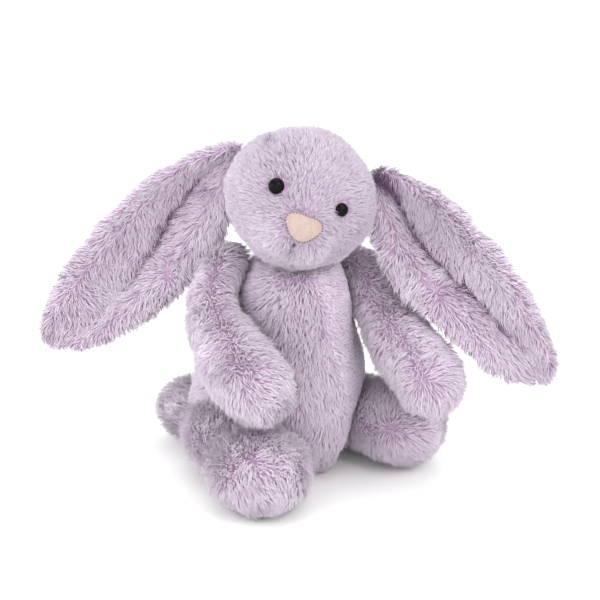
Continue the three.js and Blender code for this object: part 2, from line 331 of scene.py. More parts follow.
def smooth_mesh(name, bm):
    """Turns a bmesh into a mesh with smooth shading, and frees it."""
    mesh = bpy.data.meshes.new(name)
    bm.to_mesh(mesh)
    bm.free()
    mesh.polygons.foreach_set("use_smooth", np.ones(len(mesh.polygons), bool))
    return mesh


def unit(vectors):
    return vectors / np.maximum(np.linalg.norm(vectors, axis=-1, keepdims=True), 1e-12)


def remeshed(name, nodes, voxel, hull=False, smooth=12):
    """The CAD nodes' solids as one evenly meshed, smoothed surface."""
    bm = bmesh.new()
    for node in nodes:
        bm.from_mesh(frame["nodes"][node].data)
    if hull:
        found = bmesh.ops.convex_hull(bm, input=bm.verts)
        inside = found["geom_interior"] + found["geom_unused"]
        spare = {part for part in inside if isinstance(part, bmesh.types.BMVert)}
        bmesh.ops.delete(bm, geom=list(spare), context="VERTS")
    bmesh.ops.remove_doubles(bm, verts=bm.verts, dist=SAME_PLACE)
    mesh = bpy.data.meshes.new(name)
    bm.to_mesh(mesh)
    bm.free()
    obj = bpy.data.objects.new(name, mesh)
    bpy.context.scene.collection.objects.link(obj)
    remesh = obj.modifiers.new("remesh", "REMESH")
    remesh.mode = "VOXEL"
    remesh.voxel_size = voxel
    relax = obj.modifiers.new("relax", "SMOOTH")
    relax.factor = 0.5
    relax.iterations = smooth
    graph = bpy.context.evaluated_depsgraph_get()
    result = bpy.data.meshes.new_from_object(obj.evaluated_get(graph))
    bpy.data.objects.remove(obj)
    result.name = name
    return result


def reshape(mesh, move):
    """Sets the mesh's points to move(points, normals) and shades it smooth."""
    points, normals, _ = mesh_arrays(mesh)
    mesh.vertices.foreach_set("co", move(points, normals).ravel())
    mesh.polygons.foreach_set("use_smooth", np.ones(len(mesh.polygons), bool))
    mesh.update()
    return mesh


LUMP_WAVES = 24


def lumps(points, seed, size):
    """Smooth random values from about -1 to 1, with features of that size."""
    rng = np.random.default_rng(seed)
    total = np.zeros(len(points))
    for _ in range(LUMP_WAVES):
        direction = unit(rng.normal(size=3))
        pitch = size * rng.uniform(0.7, 1.6)
        total += np.sin(points @ direction * (2 * math.pi / pitch) + rng.uniform(0, 2 * math.pi))
    return total / math.sqrt(LUMP_WAVES / 2) / 1.6


# ---- pile: thousands of tapered, clumped strands as real mesh -----------------------------------
STRAND_RADIUS = 0.25 * MM
ROOT_DEPTH = 0.7 * MM           # how deep a strand is rooted in the backing
NEIGHBOUR_DEPTH = 2.5 * MM      # deepest that a strand's root may lie inside a neighbour
SOFTNESS = 0.6                  # how far a strand's shading follows the surface under it
PIECE_STRANDS = 19000           # most strands in one piece
CLUMP = 16                      # strands that share one tuft
STRAND_FACES = np.array([[0, 2, 1],
                         [0, 1, 4], [0, 4, 3], [1, 2, 5], [1, 5, 4], [2, 0, 3], [2, 3, 5],
                         [3, 4, 6], [4, 5, 6], [5, 3, 6]])
STRAND_V = np.array([0.0, 0.0, 0.0, 0.5, 0.5, 0.5, 1.0])
STRAND_U = np.array([-1, 0, 1, -1, 0, 1, 0]) * 0.02


def project(vectors, normals):
    """The part of the vectors that lies along the surface."""
    return vectors - normals * np.sum(vectors * normals, axis=1, keepdims=True)


def inside_of(points, tree, low, high):
    """How far inside a closed surface each point is, or 0 outside it."""
    depth = np.zeros(len(points))
    near = np.all((points > low) & (points < high), axis=1)
    for i in np.flatnonzero(near):
        place, normal, _, distance = tree.find_nearest(Vector(points[i]))
        if (Vector(points[i]) - place).dot(normal) < 0:
            depth[i] = distance
    return depth


def solid_tree(mesh):
    points, _, triangles = mesh_arrays(mesh)
    tree = BVHTree.FromPolygons(points.tolist(), triangles.tolist())
    return tree, points.min(0), points.max(0)


def scatter(mesh, spacing, rng):
    """Random roots on a surface, about that far apart, with the surface's smooth normals."""
    points, normals, triangles = mesh_arrays(mesh)
    a, b, c = (points[triangles[:, k]] for k in range(3))
    areas = np.linalg.norm(np.cross(b - a, c - a), axis=1) / 2
    count = int(areas.sum() / spacing ** 2)
    cumulative = np.cumsum(areas) / areas.sum()
    steps = (np.arange(count) + rng.random(count)) / count
    face = np.minimum(np.searchsorted(cumulative, steps), len(areas) - 1)
    face = face[rng.permutation(count)]
    s = np.sqrt(rng.random(count))
    t = rng.random(count)
    weights = np.stack([1 - s, s * (1 - t), s * t], axis=1)[:, :, None]
    roots = np.sum(points[triangles[face]] * weights, axis=1)
    up = unit(np.sum(normals[triangles[face]] * weights, axis=1))
    return roots, up


def strands(roots, middles, tips, radius, shade, rng):
    """Closed three-sided spikes through root, middle and tip, as arrays of points and of uv."""
    axis = unit(tips - roots)
    side = unit(np.cross(axis, rng.normal(size=axis.shape)))
    other = np.cross(axis, side)
    points = np.empty((len(roots), 7, 3))
    for k in range(3):
        turn = 2 * math.pi * k / 3
        offset = side * math.cos(turn) + other * math.sin(turn)
        points[:, k] = roots + offset * radius[:, None]
        points[:, 3 + k] = middles + offset * radius[:, None] * 0.85
    points[:, 6] = tips
    u = np.clip(shade[:, None] + STRAND_U, 0, 1)
    v = np.broadcast_to(STRAND_V, u.shape)
    return points, np.stack([u, v], axis=2)


def strand_mesh(name, points, uv, up):
    """The strands as one mesh. Their shading leans towards the surface they grow on, as soft pile's does."""
    count = len(points)
    faces = (STRAND_FACES[None] + 7 * np.arange(count)[:, None, None]).reshape(-1)
    mesh = bpy.data.meshes.new(name)
    mesh.vertices.add(7 * count)
    mesh.vertices.foreach_set("co", points.ravel())
    mesh.loops.add(len(faces))
    mesh.loops.foreach_set("vertex_index", faces)
    mesh.polygons.add(len(faces) // 3)
    mesh.polygons.foreach_set("loop_start", np.arange(0, len(faces), 3))
    mesh.polygons.foreach_set("use_smooth", np.ones(len(faces) // 3, bool))
    mesh.update(calc_edges=True)
    layer = mesh.uv_layers.new(name=PILE_UV)
    layer.data.foreach_set("uv", uv.reshape(-1, 2)[faces].ravel())
    _, own, _ = mesh_arrays(mesh)
    soft = unit(own * (1 - SOFTNESS) + np.repeat(up, 7, axis=0) * SOFTNESS)
    mesh.normals_split_custom_set_from_vertices(soft)
    return mesh


def nearest_clump(roots, centres):
    tree = kdtree.KDTree(len(centres))
    for i, centre in enumerate(centres):
        tree.insert(centre, i)
    tree.balance()
    return np.array([tree.find(root)[1] for root in roots])


def pile(name, body, backing, comb, length, spacing, lean=44, clumping=0.42, keep=None, avoid=(), seed=0,
         radius=STRAND_RADIUS, bright=None, crowns=(), upright=0.3, ruffle=1.0, material=None):
    """Grows pile of that length on a backing, combed by comb(points, normals), as one or more pieces.

    lean is in degrees from upright. keep chooses the roots, avoid lists the neighbours that pile stays out
    of, bright lightens or darkens strands, mostly as painted light and shade, and crowns are places where
    they stand more upright. lean, length and ruffle may be functions of the roots.
    """
    rng = np.random.default_rng(seed)
    roots, up = scatter(backing, spacing, rng)
    wanted = np.ones(len(roots), bool)
    if keep is not None:
        wanted &= keep(roots, up)
    for tree, low, high in avoid:
        wanted &= inside_of(roots, tree, low, high) < NEIGHBOUR_DEPTH
    roots, up = roots[wanted], up[wanted]
    count = len(roots)

    wander = np.stack([lumps(roots, seed + k, 22 * MM) for k in (1, 2, 3)], axis=1)
    frizz = rng.normal(size=(count, 3))
    ruffle = ruffle(roots)[:, None] if callable(ruffle) else ruffle
    flow = unit(project(unit(comb(roots, up)) + ruffle * (0.34 * wander + 0.3 * frizz), up))
    lean, length = (value(roots) if callable(value) else value for value in (lean, length))
    for crown in crowns:
        lean = lean * (1 - upright * np.exp(-(np.linalg.norm(roots - crown, axis=1) / (5 * MM)) ** 2))
    angle = np.radians(lean + 9 * lumps(roots, seed + 4, 12 * MM) + 8 * rng.normal(size=count))
    reach = length * (1 + 0.12 * lumps(roots, seed + 5, 15 * MM) + 0.14 * rng.normal(size=count))
    reach = np.clip(reach, length * 0.55, length * 1.35)[:, None] / 2

    def step(turn):
        return reach * (up * np.cos(angle * turn)[:, None] + flow * np.sin(angle * turn)[:, None])
    middles = roots + step(0.8)
    tips = middles + step(1.3)
    centres = max(count // CLUMP, 1)
    clump = nearest_clump(roots, roots[:centres])
    pull = (clumping * rng.uniform(0.5, 1.0, count))[:, None]
    tips += (tips[clump] - tips) * pull
    middles += (middles[clump] - middles) * pull * 0.3
    roots = roots - up * ROOT_DEPTH

    tuft = rng.normal(size=centres)[clump]
    shade = 0.62 + 0.13 * lumps(roots, seed + 6, 30 * MM) + 0.08 * tuft + 0.09 * rng.normal(size=count)
    # bright adds painted light and shade on top of the strands' random tone.
    if bright is not None:
        shade = shade + bright(roots)
    thick = radius * rng.uniform(0.75, 1.2, count)
    points, uv = strands(roots, middles, tips, thick, np.clip(shade, 0.02, 0.98), rng)
    lowest = FLOOR_GAP + 0.25 * MM * (STRAND_V > 0) * rng.random((count, 1))
    points[:, :, 2] = np.maximum(points[:, :, 2], lowest)

    pieces = -(-count // PIECE_STRANDS)
    order = np.argsort(roots[:, 1])
    for k, chunk in enumerate(np.array_split(order, pieces)):
        label = name if pieces == 1 else f"{name}_{k + 1}"
        mesh = strand_mesh(label, points[chunk], uv[chunk], up[chunk])
        link(label, mesh, material or PILE, body)


# ---- combing -----------------------------------------------------------------------------------
def whorl(centre, reach, strength):
    """Pile that turns away from a centre, strongly near it."""
    centre = np.array(centre)

    def field(points):
        gap = points - centre
        fall = np.exp(-(np.linalg.norm(gap, axis=1, keepdims=True) / reach) ** 2)
        return unit(gap) * fall * strength
    return field


def toward(target):
    target = np.array(target)
    return lambda points: unit(target - points)


def hanging(strength):
    return lambda points: np.broadcast_to([0.0, 0.0, -strength], points.shape)


def combing(*fields):
    return lambda points, normals: sum(field(points) for field in fields)


def spot(low, high, x, y, z):
    """A point given as shares of a box."""
    return np.array(low) + (np.array(high) - np.array(low)) * np.array([x, y, z])


# ---- stuffed limbs, torso and tail ---------------------------------------------------------------
JOINTS = {joint["child"]: np.array(joint["pos_m"]) for joint in frame["joints"]}
backings = {}


def add_backing(name, mesh, body, nodes):
    """Adds the stuffed cloth of a body, which stands for those CAD nodes."""
    obj = link(name, mesh, BACKING, body)
    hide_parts(*nodes)
    backings[body] = solid_tree(mesh)


def lumpy(seed, inset=0.0, size=30 * MM, height=0.7 * MM):
    """Uneven stuffing, on a surface drawn in by the inset."""
    def move(points, normals):
        return points + normals * (height * lumps(points, seed, size)[:, None] - inset)
    return move


BACKING_VOXEL = 2.5 * MM
LIMB_SEEDS = {"leg_right": 100, "leg_left": 200, "arm_right": 300, "arm_left": 400}
limb_meshes = {}
SLIMMER = {"arm_right": 3.2 * MM, "arm_left": 2.0 * MM}   # taken off the side towards the bunny's left
SHOULDER_RISE = 5 * MM          # how much fuller the right shoulder is
HAUNCH_RISE = 7 * MM            # how much fuller the right thigh is


def haunch(points):
    """How far back along a leg points are, from 0 at its shin to 1 at its thigh."""
    return np.clip((points[:, 1] + 62 * MM) / (26 * MM), 0, 1)


def limb_shape(limb, seed):
    """Slims or fills out a limb's backing."""
    def move(points, normals):
        slim = SLIMMER.get(limb, 0) * np.clip(normals[:, :1], 0, 1)
        if limb == "arm_right":
            shoulder = np.clip((points[:, 2:] - 104 * MM) / (20 * MM), 0, 1)
            facing = np.clip(normals @ [[0.6], [0.0], [0.8]], 0, 1)
            slim = slim * (1 - shoulder) - SHOULDER_RISE * shoulder * facing
        if limb == "leg_right":
            facing = np.clip(normals @ [[-0.75], [0.0], [0.66]], 0, 1)
            slim = slim - HAUNCH_RISE * haunch(points)[:, None] * facing
        return lumpy(seed)(points, normals) - normals * slim
    return move


for limb, seed in LIMB_SEEDS.items():
    mesh = reshape(remeshed(f"{limb}_backing", [f"{limb}_filling"], BACKING_VOXEL), limb_shape(limb, seed))
    add_backing(f"{limb}_backing", mesh, limb, [f"{limb}_cover", f"{limb}_filling"])
    limb_meshes[limb] = mesh
tail_mesh = reshape(remeshed("tail_backing", ["tail_filling"], BACKING_VOXEL), lumpy(600))
add_backing("tail_backing", tail_mesh, "tail", ["tail_cover", "tail_filling"])


# ---- head ----------------------------------------------------------------------------------------
def middle_of(node):
    low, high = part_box(node)
    return np.array((low + high) / 2)


head_centre = middle_of("head_cover")
nose_centre = middle_of("nose_patch")
head_side = unit(middle_of("eye_left") - middle_of("eye_right"))
head_front = nose_centre - head_centre
head_front = unit(head_front - head_side * (head_front @ head_side))
head_up = np.cross(head_front, head_side)
PUFF_SIDES = (-11 * MM, 11 * MM)  # how far sideways of the nose's middle the muzzle's puffs are


def in_head(points, origin):
    """Points as distances sideways, forwards and up from an origin on the head."""
    gap = points - origin
    return gap @ head_side, gap @ head_front, gap @ head_up


def muzzle(points, normals):
    """Two soft puffs below the nose, the mouth's crease between them, and a dart on the forehead."""
    side, front, up = in_head(points, nose_centre)
    facing = np.clip((front + 22 * MM) / (14 * MM), 0, 1)
    puffs = sum(np.exp(-((side - x) / (8.5 * MM)) ** 2 - ((up + 15 * MM) / (9 * MM)) ** 2)
                for x in PUFF_SIDES)
    crease = np.exp(-((side + MM) / (2.4 * MM)) ** 2) * np.exp(-((up + 15 * MM) / (8 * MM)) ** 4)
    dart = np.exp(-((side + 29 * MM) / (2.2 * MM)) ** 2) * np.exp(-((up - 36 * MM) / (12 * MM)) ** 4)
    smile = np.exp(-((up + 28 * MM) / (3 * MM)) ** 2) * np.exp(-(side / (13 * MM)) ** 2)
    bridge = np.exp(-(side / (20 * MM)) ** 2 - ((up + 2 * MM) / (16 * MM)) ** 2)
    height = 5.2 * MM * puffs - 5.6 * MM * crease - 1.6 * MM * smile + 0.6 * MM * bridge
    return points + normals * (height * facing - 2.2 * MM * dart)[:, None]


def head_shape(points, normals):
    return lumpy(700, 2.9 * MM, 35 * MM, 0.5 * MM)(muzzle(points, normals), normals)


head_mesh = reshape(remeshed("head_backing", ["head_cover"], 1.7 * MM, hull=True, smooth=8), head_shape)
add_backing("head_backing", head_mesh, "head", ["head_cover", "head_filling"])


# ---- torso, pressed in where the head and limbs are sewn on ----------------------------------------
def pressed_in(points, bodies, clearance):
    """Moves points that are inside a neighbour, or too close, onto a surface clear of it."""
    for body in bodies:
        tree, low, high = backings[body]
        near = np.all((points > low - clearance) & (points < high + clearance), axis=1)
        for i in np.flatnonzero(near):
            place, normal, _, _ = tree.find_nearest(Vector(points[i]))
            if (Vector(points[i]) - place).dot(normal) < clearance:
                points[i] = place + normal * clearance
    return points


TORSO_SHOULDER_INSET = 4 * MM
HIP_RISE = 11 * MM              # how far the right hip stands out beside the tail
PRESSED_CLEARANCE = 1.2 * MM


def torso_shape(points, normals):
    """Plump, narrower at the left shoulder and fuller at the right hip, and clear of its neighbours."""
    plump = lumpy(500, 3.2 * MM, 40 * MM)(points, normals)
    shoulder = np.exp(-((points[:, 2] - 105 * MM) / (32 * MM)) ** 4) * np.clip(normals[:, 0], 0, 1)
    plump -= normals * (TORSO_SHOULDER_INSET * shoulder)[:, None]
    hip = (np.exp(-((points[:, 2] - 38 * MM) / (30 * MM)) ** 4) * np.exp(-(points[:, 1] / (26 * MM)) ** 2)
           * np.clip(-normals[:, 0], 0, 1))
    plump += normals * (HIP_RISE * hip)[:, None]
    bodies = ("leg_right", "leg_left", "arm_right", "arm_left", "tail", "head")
    return pressed_in(plump, bodies, PRESSED_CLEARANCE)


torso_mesh = reshape(remeshed("torso_backing", ["torso_cover"], BACKING_VOXEL, hull=True), torso_shape)
add_backing("torso_backing", torso_mesh, "torso", ["torso_cover", "torso_filling"])


# ---- ears ----------------------------------------------------------------------------------------
def nearest_on_line(points, line):
    """For each point, the closest place on the line, and the line's direction there."""
    start, run = line[:-1], np.diff(line, axis=0)
    share = np.einsum("pij,ij->pi", points[:, None] - start[None], run) / np.sum(run * run, axis=1)
    places = start[None] + np.clip(share, 0, 1)[:, :, None] * run[None]
    best = np.argmin(np.linalg.norm(points[:, None] - places, axis=2), axis=1)
    rows = np.arange(len(points))
    return places[rows, best], unit(run[best])


# facing is the way an ear's lining looks, and outer says which side of it the outer edge is on.
# Along each ear, in millimetres: its centreline. Every other table is by the share of the way along it:
# the crease's place towards the outer edge and its depth, and the trim of both edges under the pile.
EARS = {
    "ear_right": {
        "facing": unit(np.array([0.1, -1, 0.15])), "outer": 1,
        "line": [(-34, 5, 192), (-50, 11, 166), (-70, 14, 142), (-88, 12, 123), (-106, 8, 105),
                 (-123, 3, 88), (-143, -3, 71)],
        "crease": [(0.0, 3, 0.2), (0.2, 1, 0.5), (0.26, 0, 1.0), (0.34, -1, 1.0), (0.4, -3, 1.0),
                   (0.5, -6, 0.8), (0.6, -9, 0.5), (0.72, -10, 0.0)],
        "outer_trim": [(0.0, 0.6), (0.12, 0.8), (0.3, 0.91), (0.7, 0.87), (0.85, 0.8), (1.0, 0.72)],
        "inner_trim": [(0.0, 1.0), (0.2, 1.12), (0.35, 1.16), (0.5, 1.06), (0.65, 0.97), (0.8, 0.84),
                       (1.0, 0.72)],
    },
    "ear_left": {
        "facing": unit(np.array([-0.2, -1, -0.2])), "outer": -1,
        "line": [(59, -1, 176), (71, -11, 154), (83, -23, 138), (98, -33, 122), (115, -39, 106),
                 (131, -41, 87), (152, -41, 64)],
        "crease": [(0.0, -1, 0.7), (0.12, -3, 1.0), (0.25, -6, 1.0), (0.4, -4, 0.9), (0.55, 0, 0.9),
                   (0.7, 1, 0.6), (0.88, 1, 0.0)],
        "outer_trim": [(0.0, 0.75), (0.15, 0.9), (0.3, 0.98), (0.55, 0.95), (0.8, 0.75), (1.0, 0.62)],
        "inner_trim": [(0.0, 1.0), (0.2, 1.08), (0.5, 0.98), (0.75, 0.82), (1.0, 0.66)],
    },
}
ROOT_PULL = 9 * MM              # how far an ear's root is drawn in to the head by its stitches
RIM_LIFT = 2.2 * MM
CREASE_DEPTH = 6 * MM
TIP_TRIM = 6 * MM               # how much shorter an ear's backing is than its CAD panels, at the tip
PANEL_SHARE = 0.9               # thickness of an ear's backing, as a share of the CAD panels'
SHARES = np.linspace(0, 1, 12)
RIM = 0.56                      # where an ear's rim begins, as a share of the way to its edge
ear_edges = {}


def table(rows, share, column=1):
    """Reads a column of one of the tables above."""
    rows = np.array(rows)
    return np.interp(share, rows[:, 0], rows[:, column])


def ear_line(ear):
    """An ear's centreline, rounded through its table's points."""
    points = np.array(EARS[ear]["line"]) * MM
    fine = np.linspace(0, len(points) - 1, 49)
    line = np.stack([np.interp(fine, np.arange(len(points)), points[:, k]) for k in range(3)], axis=1)
    for _ in range(30):
        line[1:-1] = (line[:-2] + line[1:-1] + line[2:]) / 3
    return line


ear_lines = {ear: ear_line(ear) for ear in EARS}


def ear_frame(points, ear):
    """For points on an ear: the nearest place on its centreline, how far along it that is from 0 to 1,
    the distance sideways, towards the outer edge, that distance as a share of the way to the edge,
    and the directions sideways and along."""
    line = ear_lines[ear]
    places, direction = nearest_on_line(points, line)
    share = np.linalg.norm(places - line[0], axis=1) / np.linalg.norm(line[-1] - line[0])
    across = unit(np.cross(direction, EARS[ear]["facing"])) * EARS[ear]["outer"]
    side = np.sum((points - places) * across, axis=1)
    outer, inner = ear_edges.get(ear, (np.ones(len(SHARES)), np.ones(len(SHARES))))
    edge = np.where(side > 0, np.interp(share, SHARES, outer), np.interp(share, SHARES, inner))
    return places, share, side, side / edge, across, direction


for ear in EARS:
    panels = [scatter(frame["nodes"][f"{ear}_{panel}"].data, 1.5 * MM, np.random.default_rng(5))[0]
              for panel in ("lining", "back")]
    _, share, side, *_ = ear_frame(np.vstack(panels), ear)
    rows = [np.abs(share - s) < 0.06 for s in SHARES]
    ear_edges[ear] = (np.array([side[row].max() for row in rows]),
                      np.array([-side[row].min() for row in rows]))


def ear_crease(share, side, ear, width=3.4 * MM):
    """How deep in the ear's folded crease a point is, from 0 to 1."""
    rows = EARS[ear]["crease"]
    return table(rows, share, 2) * np.exp(-((side - table(rows, share) * MM) / width) ** 2)


def trimmed(ear):
    """Keeps a panel inside the ear's outline by its pile's height, lifts its rim and folds its crease."""
    rows, line = EARS[ear], ear_lines[ear]

    def move(points, _):
        places, share, side, reach, across, _ = ear_frame(points, ear)
        trim = np.where(side > 0, table(rows["outer_trim"], share), table(rows["inner_trim"], share))
        sideways = across * side[:, None]
        moved = places + sideways * trim[:, None] + (points - places - sideways) * PANEL_SHARE
        moved -= unit(line[-1] - line[-4]) * (share ** 6)[:, None] * TIP_TRIM
        at_root = np.clip(1 - share / 0.22, 0, 1) ** 2
        moved += unit(head_centre - line[0]) * at_root[:, None] * ROOT_PULL
        rim = np.clip((np.abs(reach) - 0.4) / 0.3, 0, 1) * np.clip(share * 4, 0, 1)
        lift = RIM_LIFT * rim - CREASE_DEPTH * ear_crease(share, side, ear)
        return moved + rows["facing"] * lift[:, None]
    return move


def subdivided(name, node):
    """A CAD node's mesh with every edge cut in four."""
    bm = bmesh.new()
    bm.from_mesh(frame["nodes"][node].data)
    bmesh.ops.remove_doubles(bm, verts=bm.verts, dist=SAME_PLACE)
    bmesh.ops.subdivide_edges(bm, edges=bm.edges, cuts=3, use_grid_fill=True)
    bmesh.ops.triangulate(bm, faces=bm.faces)
    mesh = bpy.data.meshes.new(name)
    bm.to_mesh(mesh)
    bm.free()
    return mesh


ear_meshes = {}
for ear in ("ear_right", "ear_left"):
    for panel in ("lining", "back"):
        name = f"{ear}_{panel}"
        mesh = reshape(subdivided(f"{name}_backing", name), trimmed(ear))
        add_backing(f"{name}_backing", mesh, ear, [name])
        ear_meshes[name] = mesh


# ---- the pile of each piece ------------------------------------------------------------------------
LONG, SHORT = 7.4 * MM, 4.6 * MM
SPACING = 0.88 * MM
neighbours = {
    "torso": ["leg_right", "leg_left", "arm_right", "arm_left", "tail", "head"],
    "head": ["torso"], "tail": ["torso"],
    "leg_right": ["torso"], "leg_left": ["torso"], "arm_right": ["torso"], "arm_left": ["torso"],
}


def around(body):
    """The backings that a body's pile stays out of."""
    return [backings[other] for other in neighbours[body]]


# Where the pile of each limb turns outwards from its paw or sole, as shares of its box.
CROWNS = {"leg_right": (0.6, 0.02, 0.8), "leg_left": (0.62, 0.05, 0.55), "arm_right": (0.95, 0.1, 0.1),
          "arm_left": (0.6, 0.03, 0.32)}
CROWN_REACH = 22 * MM
# How much each limb's pile is lightened: painted light, most on the right limbs, which are away from the key
# light.
LIMB_PAINTED_LIGHT = {"leg_right": 0.22, "leg_left": 0.08, "arm_right": 0.17, "arm_left": 0.08}
PARTING_SHIFT = {"arm_right": 7 * MM}     # how far a parting is from the middle of its limb, outwards
PARTING_WIDTH = 2.6 * MM


def parting(points, limb, end):
    """How near points are to the line down the front of a limb, from 0 to 1, and on which side of it."""
    root = JOINTS[limb]
    along = unit(end - root)
    across = unit(np.cross(along, [0.0, -1.0, 0.0]))
    side = (points - root) @ across - PARTING_SHIFT.get(limb, 0)
    outwards = np.cross(across, along)
    front = (points - root) @ outwards
    length = (points - root) @ along / np.linalg.norm(end - root)
    near = np.exp(-(side / PARTING_WIDTH) ** 2) * (front * np.sign(outwards[1]) < 0)
    return near * np.clip(length * 5, 0, 1) * np.clip((0.85 - length) * 6, 0, 1), side, across


def parted(limb, end):
    """Pile that turns away from the parting on both sides."""
    def field(points):
        _, side, across = parting(points, limb, end)
        return across * (0.7 * np.clip(side / (7 * MM), -1, 1))[:, None]
    return field


def limb_shade(points, limb, end):
    """Painted shade in the parting, and painted light on the thigh that shows from the front, where the
    arm's shadow falls, on top of each limb's own painted light.
    """
    thigh = 0.5 * haunch(points) if limb == "leg_right" else 0
    return LIMB_PAINTED_LIGHT[limb] + thigh - 0.3 * parting(points, limb, end)[0]


for limb, seed in LIMB_SEEDS.items():
    cover = cad_points(f"{limb}_cover")
    end = cover[np.argmax(np.linalg.norm(cover - JOINTS[limb], axis=1))]
    root = JOINTS[limb]
    beyond = end + (end - root) * 0.25
    low, high = cover.min(0), cover.max(0)
    crown = spot(low, high, *CROWNS[limb])
    pile(f"{limb}_pile", limb, limb_meshes[limb],
         combing(toward(beyond), whorl(crown, CROWN_REACH, 1.1), parted(limb, end), hanging(0.3)),
         LONG, SPACING, avoid=around(limb), seed=seed, crowns=[crown],
         bright=lambda roots, limb=limb, end=end: limb_shade(roots, limb, end))

# The seam down the belly: degrees round from the face's direction, at the bottom and the top.
TORSO_SEAM = (50, 22)
SEAM_SOFTNESS = 0.03            # radians over which the pile changes at the seam
BACK_SEAM = 2.4                 # radians round at which the smooth pile ends, behind
COMBED_SHORT = 4.0 * MM         # how much shorter the smooth pile is


def past_seam(points):
    """From 0 to 1 across the seam down the belly, and the direction round the torso."""
    middle = (torso_low + torso_high) / 2
    turn = np.arctan2(points[:, 0] - middle[0], middle[1] - points[:, 1])
    round_it = np.stack([np.cos(turn), np.sin(turn), np.zeros(len(points))], axis=1)
    seam = np.radians(np.interp(points[:, 2], [15 * MM, 125 * MM], TORSO_SEAM))
    return 1 / (1 + np.exp(-(turn - seam) / SEAM_SOFTNESS)) * (turn < BACK_SEAM), round_it


def torso_comb(points):
    """Pile brushed smooth round one side of the belly, and hanging more freely on the other."""
    past, round_it = past_seam(points)
    smooth = round_it * 0.9 + [0, 0, -0.8]
    free = round_it * -0.3 + [0, 0, -1.0]
    return smooth * past[:, None] + free * (1 - past)[:, None]


def seam_shade(points):
    """Lighter past the seam, and darker just before it: a painted shadow line beside the seam."""
    past, _ = past_seam(points)
    return 0.46 * past + 0.04 - 1.6 * past * (1 - past)


torso_low, torso_high = (np.array(corner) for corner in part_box("torso_cover"))
pile("torso_pile", "torso", torso_mesh, combing(torso_comb),
     lambda roots: LONG - COMBED_SHORT * past_seam(roots)[0], SPACING * 0.92,
     lean=lambda roots: 44 + 26 * past_seam(roots)[0], avoid=around("torso"), seed=500,
     ruffle=lambda roots: 1.1 - 0.8 * past_seam(roots)[0], bright=seam_shade)

TAIL_PILE = 9 * MM
tail_end = cad_points("tail_cover")[:, 0].min()
# The tail's pile is lightened all over: painted light for a tail that sits in the shade of the arm and leg.
pile("tail_pile", "tail", tail_mesh, combing(toward((tail_end, 0.0, 0.05)), hanging(0.3)),
     TAIL_PILE, SPACING, avoid=around("tail"), seed=600, bright=lambda _: 0.9)

eye_centres = [middle_of("eye_left"), middle_of("eye_right")]
eye_fronts = [eye + unit(eye - head_centre) * 4 * MM for eye in eye_centres]
nose_points = cad_points("nose_patch")
nose_tree = BVHTree.FromPolygons(nose_points.tolist(),
                                 mesh_arrays(frame["nodes"]["nose_patch"].data)[2].tolist())
EYE_RADIUS = 4.0 * MM
NOSE_CLEARANCE = 3.2 * MM       # how far from the CAD nose patch pile starts
FACE_DEPTH = -25 * MM           # how far behind the nose's middle the face ends
mouth = nose_centre - head_up * 13.5 * MM - head_side * MM


def clear_of_face(points, _):
    """Keeps the pile off the eyes, the mouth stitch and the nose patch."""
    clear = np.ones(len(points), bool)
    for eye in eye_centres:
        gap = points - eye
        beside = np.linalg.norm(np.cross(gap, unit(eye - head_centre)), axis=1) > EYE_RADIUS + 0.1 * MM
        clear &= beside | (np.linalg.norm(gap, axis=1) > 3 * EYE_RADIUS)
    side, _, height = in_head(points, mouth)
    clear &= ~((np.abs(side) < 1.5 * MM) & (np.abs(height) < 3 * MM) & (points[:, 1] < mouth[1] + 12 * MM))
    for i in np.flatnonzero(np.linalg.norm(points - nose_centre, axis=1) < 20 * MM):
        clear[i] &= nose_tree.find_nearest(Vector(points[i]))[3] > NOSE_CLEARANCE
    return clear


def face_shade(roots):
    """Lighter chin and puffs; painted shade in the mouth's crease, along the dart and in the eye sockets;
    and the whole head's pile a little darker, painted shade against the extra light it catches.
    """
    side, front, up = in_head(roots, nose_centre)
    mouth_crease_shade = np.exp(-((side + MM) / (1.6 * MM)) ** 2 - ((up + 14 * MM) / (5 * MM)) ** 4) * (front > FACE_DEPTH)
    dart = np.exp(-((side + 29 * MM) / (1.6 * MM)) ** 2 - ((up - 36 * MM) / (12 * MM)) ** 4)
    chin = np.exp(-(side / (18 * MM)) ** 2 - ((up + 18 * MM) / (11 * MM)) ** 2) * (front > FACE_DEPTH)
    puffs = sum(np.exp(-((side - x) / (8 * MM)) ** 2 - ((up + 14 * MM) / (9 * MM)) ** 2) for x in PUFF_SIDES)
    eyes = sum(np.exp(-(np.linalg.norm(roots - eye, axis=1) / (6.5 * MM)) ** 2) for eye in eye_fronts)
    return 0.2 * chin + 0.25 * puffs - 1.5 * mouth_crease_shade - 0.5 * dart - 0.3 * eyes - 0.12


def from_mouth(points):
    """Pile that turns sideways from the line between nose and mouth."""
    side, front, up = in_head(points, nose_centre)
    near = np.exp(-(side / (7 * MM)) ** 2 - ((up + 17 * MM) / (8 * MM)) ** 4) * (front > FACE_DEPTH)
    return head_side * (1.6 * np.clip(side / (1.5 * MM), -1, 1) * near)[:, None]


HEAD_SPACING, HEAD_RADIUS = 0.72 * MM, 0.19 * MM
pile("head_pile", "head", head_mesh,
     combing(whorl(nose_centre, 60 * MM, 2.5), hanging(0.5), from_mouth,
             *(whorl(eye, 8 * MM, 3.5) for eye in eye_fronts)),
     SHORT, HEAD_SPACING, lean=47, clumping=0.45, keep=clear_of_face, avoid=around("head"), seed=700,
     radius=HEAD_RADIUS, bright=face_shade, material=HEAD_PILE, crowns=eye_fronts, upright=0.8)

